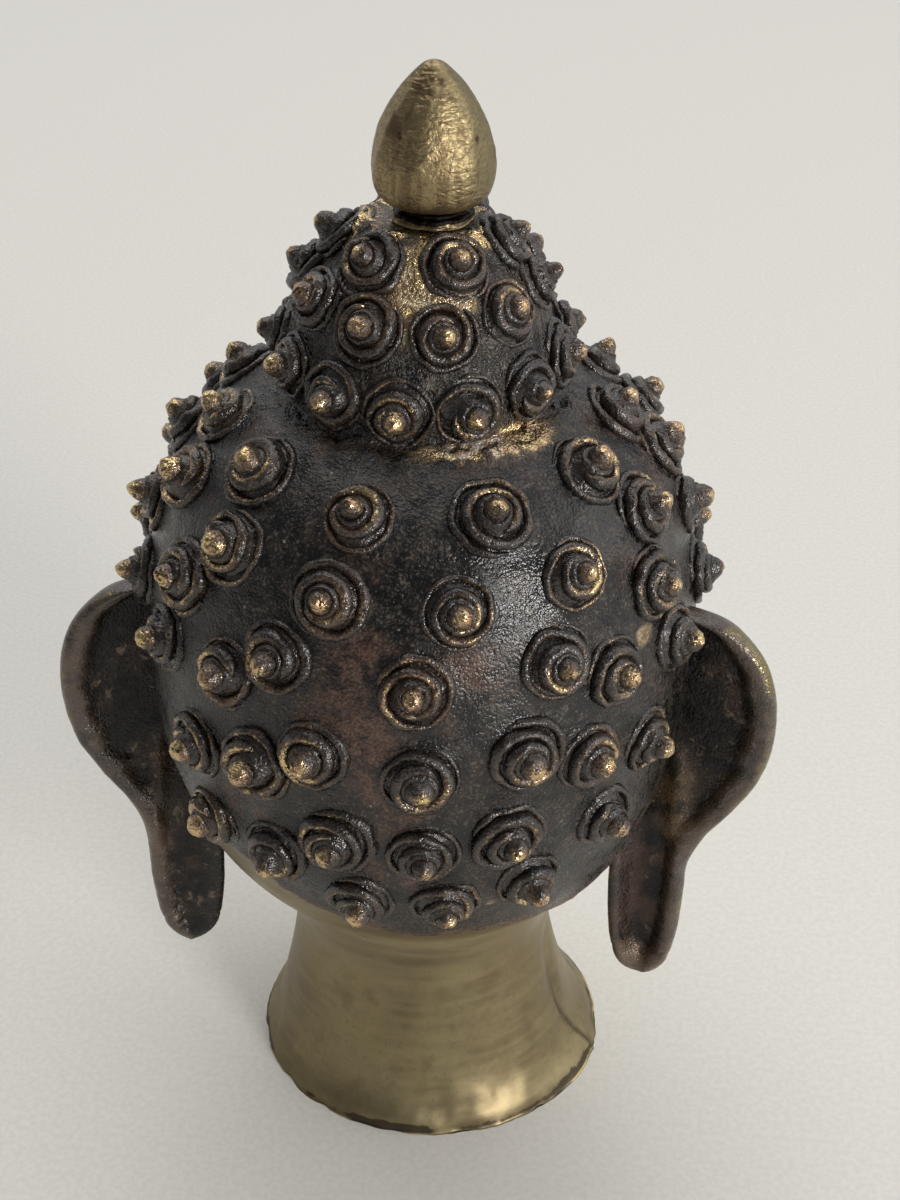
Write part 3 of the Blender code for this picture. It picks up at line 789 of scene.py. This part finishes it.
def curls_mesh(name, chosen, first):
    """One mesh of several curls, each turned to stand on the skin."""
    points, faces, wear, rub = [], [], [], []
    start = 0
    for index, (point, normal, on_top_knot) in enumerate(chosen, first):
        rng = np.random.default_rng(CURL_SEED + index)
        radius = TOP_KNOT_CURL_RADIUS if on_top_knot else CURL_RADIUS
        height = TOP_KNOT_CURL_HEIGHT if on_top_knot else CURL_HEIGHT
        radius *= rng.uniform(0.99, 1.09)
        shape, shape_faces, worn = curl(rng, KNOB_SHARE * height * rng.uniform(0.94, 1.06) / radius)
        spin = rng.random() * tau
        side = np.cross(normal, (0.0, 0.0, 1.0))
        side /= np.linalg.norm(side)
        fore = np.cross(normal, side)
        first_axis = side * cos(spin) + fore * sin(spin)
        second_axis = np.cross(normal, first_axis)
        tilt = normal + rng.uniform(-0.06, 0.06) * first_axis + rng.uniform(-0.06, 0.06) * second_axis
        tilt /= np.linalg.norm(tilt)
        placed = point + radius * (shape[:, :1] * first_axis + shape[:, 1:2] * second_axis)
        points.append(placed + radius * shape[:, 2:] * tilt + normal * HAIR_THICK * 0.8)
        wear.append(worn)
        rubbed = rng.uniform(-0.12, 0.1) - 0.08 * on_top_knot + 0.2 * float(smooth(8, 32, point[0]))
        rub.append(np.full(len(worn), rubbed))
        faces += [[corner + start for corner in face] for face in shape_faces]
        start += len(placed)
    masks = {"wear": np.concatenate(wear), "rub": np.concatenate(rub)}
    return new_mesh(name, np.concatenate(points), faces, masks)


hollow_black, worn_brown, dirt = (0.0075, 0.0065, 0.006), (0.135, 0.084, 0.052), (0.026, 0.017, 0.011)
curl_finish, s, shader = finish("rubbed patina of the curls")
where = s.place()
patina = s.use(patina_group, Place=where, Rubbed=0.12, Dust=0.3)
worn = s.use(worn_group, Place=where, Wear=s.plus("wear", "rub"))
s.fill(shader, {
    "Base Color": s.coats(
        patina["Color"],
        (hollow_black, s.ramp("wear", 0.1, 0), 0.45),
        (worn_brown, worn["Brown"], 0.8),
        (worn["Color"], worn["Mask"]),
        (dirt, s.ramp(patina["Height"], 0.57, 0.47, 0, 0.85)),
    ),
    "Metallic": s.maths("MAXIMUM", s.ramp(worn["Brown"], 0, 1, 0.05, 0.45), worn["Mask"]),
    "IOR": 1.62,
    "Roughness": s.less(patina["Roughness"], s.ramp(worn["Mask"], 0, 1, 0.03, 0.1)),
    "Normal": s.relief(patina["Height"], 0.34 * MM),
})


def curls_piece(point, on_top_knot):
    """The name of the piece that the curl at a point is part of."""
    if on_top_knot:
        return "curls_top_knot"
    if point[1] <= 0:
        return "curls_before"
    return "curls_behind_left" if point[0] > 0 else "curls_behind_right"


first = 0
for name in ("curls_top_knot", "curls_behind_left", "curls_behind_right", "curls_before"):
    chosen = [place for place in places if curls_piece(place[0], place[2]) == name]
    piece(name, curls_mesh(name, chosen, first), curl_finish, "head")
    first += len(chosen)


# The ears: thin plates of brass cast with the head, dished behind with a thick rounded rim, each running down
# into a long free lobe that is a trough behind. Their fronts carry the fold of the ear. The patina is dark, and
# the rims are rubbed. The lobe's lower end is lightened to brown as a painted reflection.

# Stations from the top down: height, how far out the inner edge and the rim lie, then how far back each lies
EAR_STATIONS = np.array((
    (100.4, 36.9, 40.4, 9, 11.4),
    (99.0, 36.6, 46.6, 8.4, 12.2),
    (96.6, 36.5, 50.3, 7.9, 12.7),
    (92.8, 36.6, 53.4, 7.5, 13.2),
    (88, 36.8, 55.2, 7.5, 13.8),
    (83, 37, 55.9, 7.5, 14),
    (77.5, 37, 55.7, 7.5, 14.2),
    (71.5, 36.5, 54.3, 8, 14.2),
    (65.5, 35, 51.2, 9, 14),
    (59.5, 33, 47, 10.5, 14),
    (54, 32.3, 44.8, 12, 14),
    (47, 32.2, 44.5, 12.5, 14),
    (40, 32.6, 44.2, 13, 14),
    (34, 33.6, 43.2, 13, 14),
    (28.7, 36.4, 40.4, 13.4, 14),
), float)
LOBE_TIP = 28.5
LOBE_TIP_ROUND = 6
EAR_HALF = 1.1
EAR_ROLL = 1.8
EAR_ROWS = 150
EAR_ACROSS = 34
EAR_DISH = 2.2
LOBE_HOLLOW = 2.4
# The masks of each ring, with their values at the lobe's tip and at the top, where the ear is closed
# The rubbed mask also carries a painted reflection that lightens each lobe's lower end
EAR_MASKS = {"rim": (0.6, 0.6), "edge": (0.5, 0.5), "dish": (0, 0), "rubbed": (0.5, 0)}


def there_and_back(behind, before):
    """A ring's values: across behind to the rim, and back before."""
    return np.concatenate((behind, before[-2:0:-1]))


def rounded(away, roll):
    """A quarter round over the last roll of an edge."""
    return np.sqrt(np.clip(1 - (np.clip(roll - away, 0, roll) / roll) ** 2, 0, 1))


def ear_ring(station, close, side):
    """A ring of an ear, across behind, round the rim and back before: its points, then its masks."""
    height, inner, outer_x, inner_back, outer_back = station
    left = side > 0
    share = (1 - np.cos(np.linspace(0, pi, EAR_ACROSS))) / 2
    root = np.array((inner, inner_back, height))
    rim = np.array((outer_x, outer_back, height))
    span = np.linalg.norm(rim - root)
    out = (rim - root) / span
    back = np.array((-out[1], out[0], 0))
    roll = min(EAR_ROLL, span / 4.8)
    free = float(smooth(62, 54, height))
    ends = float(between(height, 28, 35, 97, 102))
    along = share * span
    from_rim = span - along
    round_end, round_root = rounded(from_rim, roll), rounded(along, roll)
    ragged = 0.26 * noise.noise(Vector((height / 3.1, side, 7)))
    ragged += 0.13 * noise.noise(Vector((height, side, 8)))
    rim_reach = (2.3 - 0.5 * free) * roll * (1 + ragged)
    at_rim = np.exp(-((from_rim / rim_reach) ** 7))
    at_root = np.exp(-((along / (1.6 * roll)) ** 2.5)) * free * (0.35 if left else 1)
    flat = 1 - np.maximum(at_rim, at_root)
    plate = min(EAR_HALF, 0.8 * roll)
    half = plate + (roll - plate) * (1 - flat)
    half = half * round_end * (1 - free * (1 - round_root)) * close**0.5
    dish = EAR_DISH * (1 - free) * (1 - share**3) * 0.5 * ends
    dish += LOBE_HOLLOW * free * min(1, span / (6 * EAR_ROLL)) * (0.5 if left else 1)
    middle = -dish * flat * ends

    helix = 1.1 * bump(from_rim, 2.4, 1.5)
    groove = -0.5 * bump(from_rim, 5.2, 1.1)
    fold = 1.2 * bump(share, 0.5 + 0.1 * sin((height - 62) / 12), 0.13)
    conch = -0.9 * bump(share, 0.22, 0.16) * bump(height, 76, 12)
    before_relief = (1 - free) * ends * (helix + groove + fold + conch) * round_end
    ridge_at = span * np.interp(height, (52, 64, 78), (0.92, 0.5, 0.12))
    ridge = 1.1 * bump(along, ridge_at, 1.5) * between(height, 50, 56, 72, 80) * ends * round_end
    plane = root + np.outer(along, out)

    outermost = bump(from_rim, 0, 1.1) + 0.75 * bump(from_rim, 3.2, 0.8) * smooth(82, 94, height)
    rubbed_and_tip_reflection = bump(along, ridge_at, 2.4) * between(height, 47, 55, 68, 80)
    # rubbed brown along the ridge, and a painted reflection lightening the lobe's lower end
    rubbed_and_tip_reflection = (0.15 if left else 1) * np.maximum(rubbed_and_tip_reflection, smooth(38, 31, height))
    if left:
        rubbed_and_tip_reflection += bump(from_rim, 0.8, 2.0) * between(height, 38, 48, 58, 66)
    return [there_and_back(*surfaces) for surfaces in (
        (plane + np.outer(middle + half + ridge, back), plane + np.outer(middle - half - before_relief, back)),
        (at_rim, at_rim), (outermost, outermost), (flat, 0 * flat), (rubbed_and_tip_reflection, rubbed_and_tip_reflection),
    )]


def ear_mesh(name, side, seed):
    """An ear as rings of points, from the lobe's tip up."""
    left = side > 0
    t = (len(EAR_STATIONS) - 1) * (1 - np.linspace(0, 1, EAR_ROWS) ** 1.25)
    stations = along_curve(EAR_STATIONS, t)
    tip = np.clip((LOBE_TIP + LOBE_TIP_ROUND - stations[:, 0]) / LOBE_TIP_ROUND, 0, 0.995)
    closing = (1 - tip**2) ** (0.85 if left else 0.62)
    _, lobe_inner, lobe_outer, _, _ = EAR_STATIONS[-2]
    half_lobe = closing[tip > 0] * (lobe_outer - lobe_inner) / 2
    stations[tip > 0, 1:3] = (lobe_inner + lobe_outer) / 2 + np.outer(half_lobe, (-1, 1))
    rings = [ear_ring(station, close, side) for station, close in zip(stations, closing)]
    points, *marks = (np.concatenate(values) for values in zip(*rings))
    count = len(points) // EAR_ROWS
    rough = lumps(points, (0.16, 5, seed), (0.07, 1.8, seed + 1))
    points[:, 1] += rough
    points[:, 0] = side * (points[:, 0] + 0.5 * rough)
    points = np.concatenate((points, [points[:count].mean(0)], [points[-count:].mean(0)]))
    faces = closed_tube(EAR_ROWS, count)
    if left:
        faces = [face[::-1] for face in faces]
    masks = {mask: np.append(values, ends) for (mask, ends), values in zip(EAR_MASKS.items(), marks)}
    masks["lobe"] = smooth(66, 52, points[:, 2]) * (0.25 if left else 1)
    return new_mesh(name, points, faces, masks)


dish_black, brown_spot, lobe_red = (0.0042, 0.0043, 0.0048), (0.17, 0.125, 0.085), (0.062, 0.031, 0.022)
rubbed_brown, rim_brown = (0.13, 0.088, 0.054), (0.1, 0.068, 0.05)
worn_brown, olive_metal = (0.115, 0.085, 0.052), (0.25, 0.21, 0.1)
ear_finish, s, shader = finish("patina of the ears")
where = s.place()
patina = s.use(patina_group, Place=where, Rubbed=0.1, Dust=0.45)
clouds = s.cloud(where, 0.0065, 3, 0.62)
spots = s.ramp(s.cloud(where, 0.0019, 2, 0.65, 0.8), 0.59, 0.69)
uneven = s.ramp(s.cloud(where, 0.007, 2), 0.38, 0.62, 0.06, 0.62)
worn = s.use(worn_group, Place=where, Wear=s.times("edge", uneven))
s.fill(shader, {
    "Base Color": s.coats(
        patina["Color"],
        (dish_black, "dish", s.ramp(clouds, 0.62, 0.4)),
        (brown_spot, spots, s.ramp(clouds, 0.4, 0.56, 0.1, 0.75)),
        (lobe_red, "lobe", s.ramp(clouds, 0.42, 0.62, 0.05, 0.7)),
        # rubbed brown on the ridge and the left lobe's edge, and a painted reflection lightening the lobe's tip
        (rubbed_brown, "rubbed", s.ramp(clouds, 0.42, 0.55, 0.1, 0.85)),
        (rim_brown, "rim", s.ramp(s.cloud(where, 0.0045, 3, 0.65), 0.32, 0.62, 0.15, 0.85)),
        (worn_brown, worn["Brown"], 0.75),
        (olive_metal, worn["Mask"]),
    ),
    "Metallic": s.maths("MAXIMUM", s.ramp(worn["Mask"], 0, 1, 0.15, 1), s.times("dish", 0.6)),
    "IOR": 1.65,
    "Roughness": s.plus(patina["Roughness"], s.ramp("dish", 0, 1, -0.03, 0.05)),
    "Normal": s.relief(patina["Height"], 0.3 * MM),
})

for name, side, seed in (("left_ear", 1, 21), ("right_ear", -1, 31)):
    piece(name, ear_mesh(name, side, seed), ear_finish, "head")


# The bud: a drop of bare brass on a small collar, turned, then filed by hand into soft facets, and brazed on
# top. The file's slanting strokes still show.
BUD_HEIGHT = 22
BUD_RADIUS = 8.75
BUD_BASE = 156.3
BUD_ROWS = 130
BUD_COLUMNS = 176
# Ridges between the filed flats: degrees from the left ear round the back, and how deep the next flat is
BUD_RIDGES = (
    (-8, 0.6), (30, 0.85), (76, 0.28), (132, 0.7), (172, 0.6), (214, 0.7), (262, 0.7), (310, 0.7), (352, 0),
)
BUD_LEAN = 0.55
BUD_PROFILE = np.array((
    (0.0, 0.0), (0.6, 0.0), (0.64, 0.02), (0.63, 0.055), (0.56, 0.075), (0.6, 0.1), (0.84, 0.15),
    (0.955, 0.23), (1.0, 0.34), (0.98, 0.43), (0.92, 0.52), (0.84, 0.615), (0.73, 0.705), (0.6, 0.79),
    (0.45, 0.87), (0.29, 0.935), (0.15, 0.98), (0.0, 1.0),
), float)
# Brown pits near the tip and on the right facet: where, and how far they reach
BUD_PITS = (((-2.6, 2.4, 175.6), 1.3), ((-7.6, 4.2, 169.0), 0.7), ((2.4, 5.6, 169.5), 0.8))


def filed_flats(angle):
    """How far out the filed drop lies at each angle, in shares of its round: flats with eased ridges."""
    fine = np.radians(np.arange(0, 360, 0.5))
    out = np.ones(len(fine))
    for (low, deep), (high, _) in zip(BUD_RIDGES, BUD_RIDGES[1:]):
        middle, half = radians(low + high) / 2, radians(high - low) / 2
        off = np.abs((fine - middle + pi) % tau - pi)
        flat = 1 + deep * (cos(half) / np.cos(np.minimum(off, half)) - 1)
        out = np.where(off <= half, flat, out)
    return np.interp(angle, fine, averaged(out, 8, "wrap"), period=tau)


def bud_mesh():
    """The drop as rings, filed flat between soft ridges."""
    t = np.linspace(0, len(BUD_PROFILE) - 1, BUD_ROWS)[1:-1]
    around = np.tile(np.arange(BUD_COLUMNS) * tau / BUD_COLUMNS, len(t))
    across, up = np.repeat(along_curve(BUD_PROFILE, t), BUD_COLUMNS, axis=0).T
    round_bud = np.stack((np.cos(around), np.sin(around), 1.6 * up), 1)
    twist = around - BUD_LEAN * (up - 0.35) + 0.12 * noise_at(round_bud, 0.5, 45)
    facet = 1 + (filed_flats(twist) - 0.985) * between(up, 0.12, 0.3, 0.9, 0.99)
    radius = across * BUD_RADIUS * np.minimum(facet, 1 / np.maximum(across, 0.01))
    points = np.stack((radius * np.cos(around), radius * np.sin(around), up * BUD_HEIGHT), 1)
    rough = 1 + lumps(points, (0.009, 3, 41), (0.006, 1.0, 42), (0.003, 0.5, 43))
    rough += 0.07 * noise_at(points, 1.6, 44) * smooth(0.13, 0.08, up)
    points[:, :2] *= rough[:, None]
    points = np.concatenate((points, [[0, 0, 0], [0, 0, BUD_HEIGHT]])) + (-OFF_CENTRE, 0, BUD_BASE)
    around_bud = np.degrees(twist)
    masks = {
        # the collar's groove under the drop, darkened with oxide and painted shade
        "groove": between(up, 0.02, 0.06, 0.1, 0.15),
        "stained": bump(around_bud, 50, 22) * smooth(0.3, 0.6, up),
        "olive": bump(around_bud, 160, 34),
    }
    masks = {mask: np.append(values, (0, 0)) for mask, values in masks.items()}
    masks["pits"] = near_marks(points, BUD_PITS, 1, 0.5)
    return new_mesh("bud", points, closed_tube(len(t), BUD_COLUMNS), masks)


filed_brass, bright_stroke, olive_brass = (0.345, 0.266, 0.138), (0.5, 0.39, 0.215), (0.2, 0.168, 0.092)
upright_brown, stain_brown = (0.125, 0.08, 0.046), (0.115, 0.072, 0.042)
grain_brown, pit_brown, oxide_and_shade_black = (0.11, 0.075, 0.044), (0.05, 0.028, 0.02), (0.014, 0.011, 0.0095)
bud_finish, s, shader = finish("filed brass of the bud")
where = s.place()
brass = s.use(brushed_group, Place=where, Bands=s.stretch(where, (1, 1, 0.3)))
slanting = s.stretch(where, (0.35, 0.35, 1), (radians(28), radians(34), 0))
strokes = s.cloud(slanting, 0.0006, 1, 0.5, 0.6)
grain = s.cloud(where, 0.0005, 1, 0.6)
upright = s.cloud(s.stretch(where, (1, 1, 0.25)), 0.0021, 2, 0.65)
lower = s.ramp(s.cloud(where, 0.006, 1), 0.42, 0.58, 0.35, 1)
s.fill(shader, {
    "Base Color": s.coats(
        brass["Color"],
        (filed_brass, 0.65),
        (bright_stroke, s.ramp(strokes, 0.5, 0.7, 0, 0.4), lower),
        (olive_brass, "olive", 0.8),
        (upright_brown, s.ramp(upright, 0.5, 0.66, 0, 0.55)),
        (stain_brown, "stained", s.ramp(upright, 0.36, 0.56, 0.25, 0.7)),
        (grain_brown, s.ramp(grain, 0.54, 0.72, 0, 0.5)),
        (pit_brown, "pits", s.ramp(grain, 0.35, 0.5, 0.5, 0.95)),
        # oxide and painted shade: dark in the collar's groove under the drop
        (oxide_and_shade_black, s.ramp(s.plus("groove", s.less(s.cloud(where, 0.0016, 2, 0.7), 0.5)), 0.2, 0.5)),
    ),
    "Metallic": 0.95,
    "Roughness": s.ramp(grain, 0.3, 0.7, 0.4, 0.52),
    "Normal": s.relief(s.plus(s.times(strokes, lower), s.times(grain, 0.4)), 0.27 * MM),
})

piece("bud", bud_mesh(), bud_finish, "finial")


# The place it stands: a plain pale surface, soft light from a large window to the right and a pale room around.
# The camera looks down on the back of the head from close by.
FLOOR_HALF = 6.0
LIGHTS_WARM = (1.0, 0.98, 0.95)
CAMERA_PITCH = radians(33)
CAMERA_YAW = radians(5)
CAMERA_ROLL = radians(-0.6)
CAMERA_AWAY = 0.286
CAMERA_AIM = Vector((0, 0, 0.0925))
LENS = 54
# The head's axis stands left of the picture's middle: both in pixels, then the pixels for one camera distance
PICTURE_MIDDLE = 450
HEAD_AXIS = 422.6
PIXELS_AWAY = 1800

corners = [(FLOOR_HALF * x, FLOOR_HALF * y, 0) for x, y in ((-1, -1), (1, -1), (1, 1), (-1, 1))]
floor_mesh = bpy.data.meshes.new("floor")
floor_mesh.from_pydata(corners, [], [(0, 1, 2, 3)])
floor = stand("floor", floor_mesh)
pale_paper, s, shader = finish("pale paper")
grain = s.ramp(s.cloud(s.place(), 0.0011, 1), 0.3, 0.7)
s.fill(shader, {"Base Color": s.blend(grain, (0.71, 0.69, 0.64), (0.76, 0.74, 0.69)), "Roughness": 0.75})
floor_mesh.materials.append(pale_paper)

world = bpy.data.worlds.new("pale room")
bpy.context.scene.world = world
world.use_nodes = True
room = Shading(world.node_tree)
darker_side = room.node(
    "ShaderNodeVectorMath", {0: room.place("Generated"), 1: (0.5, 0.76, 0.42)}, operation="DOT_PRODUCT",
).outputs["Value"]
room.fill(world.node_tree.nodes["Background"], {
    "Color": (0.95, 0.97, 1.0), "Strength": room.ramp(darker_side, 0, 0.85, 0.64, 0.16),
})
bpy.context.scene.view_settings.view_transform = "Standard"


def softbox(name, toward, away, width, height, power):
    """A soft rectangular light that faces the head from a direction."""
    data = bpy.data.lights.new(name, "AREA")
    data.shape = "RECTANGLE"
    data.size, data.size_y = width, height
    data.energy = power
    data.color = LIGHTS_WARM
    lamp = stand(name, data)
    direction = Vector(toward).normalized()
    lamp.location = CAMERA_AIM + direction * away
    lamp.rotation_euler = direction.to_track_quat("Z", "Y").to_euler()


softbox("window", (-0.68, 0.7, 0.3), 1.5, 0.42, 0.42, 12.6)
softbox("white_wall", (-0.97, -0.1, 0.45), 1.9, 1.6, 1.3, 7.5)
softbox("ceiling", (0.1, -0.5, 1.0), 2.0, 2.0, 2.0, 19.0)

camera_data = bpy.data.cameras.new("camera")
camera_data.lens = LENS
camera_data.sensor_width = 36
camera_data.clip_start = 0.01
camera = stand("camera", camera_data)
ahead = cos(CAMERA_PITCH)
back = Vector((-sin(CAMERA_YAW) * ahead, cos(CAMERA_YAW) * ahead, sin(CAMERA_PITCH)))
right = (-back).cross(Vector((0, 0, 1))).normalized()
upward = right.cross(-back)
aside = (PICTURE_MIDDLE - HEAD_AXIS) / PIXELS_AWAY * CAMERA_AWAY
camera.location = CAMERA_AIM + right * aside + back * CAMERA_AWAY
rolled_right = right * cos(CAMERA_ROLL) - upward * sin(CAMERA_ROLL)
rolled_up = upward * cos(CAMERA_ROLL) + right * sin(CAMERA_ROLL)
camera.rotation_mode = "QUATERNION"
camera.rotation_quaternion = Matrix([[*row] for row in zip(rolled_right, rolled_up, back)]).to_quaternion()
bpy.context.scene.camera = camera
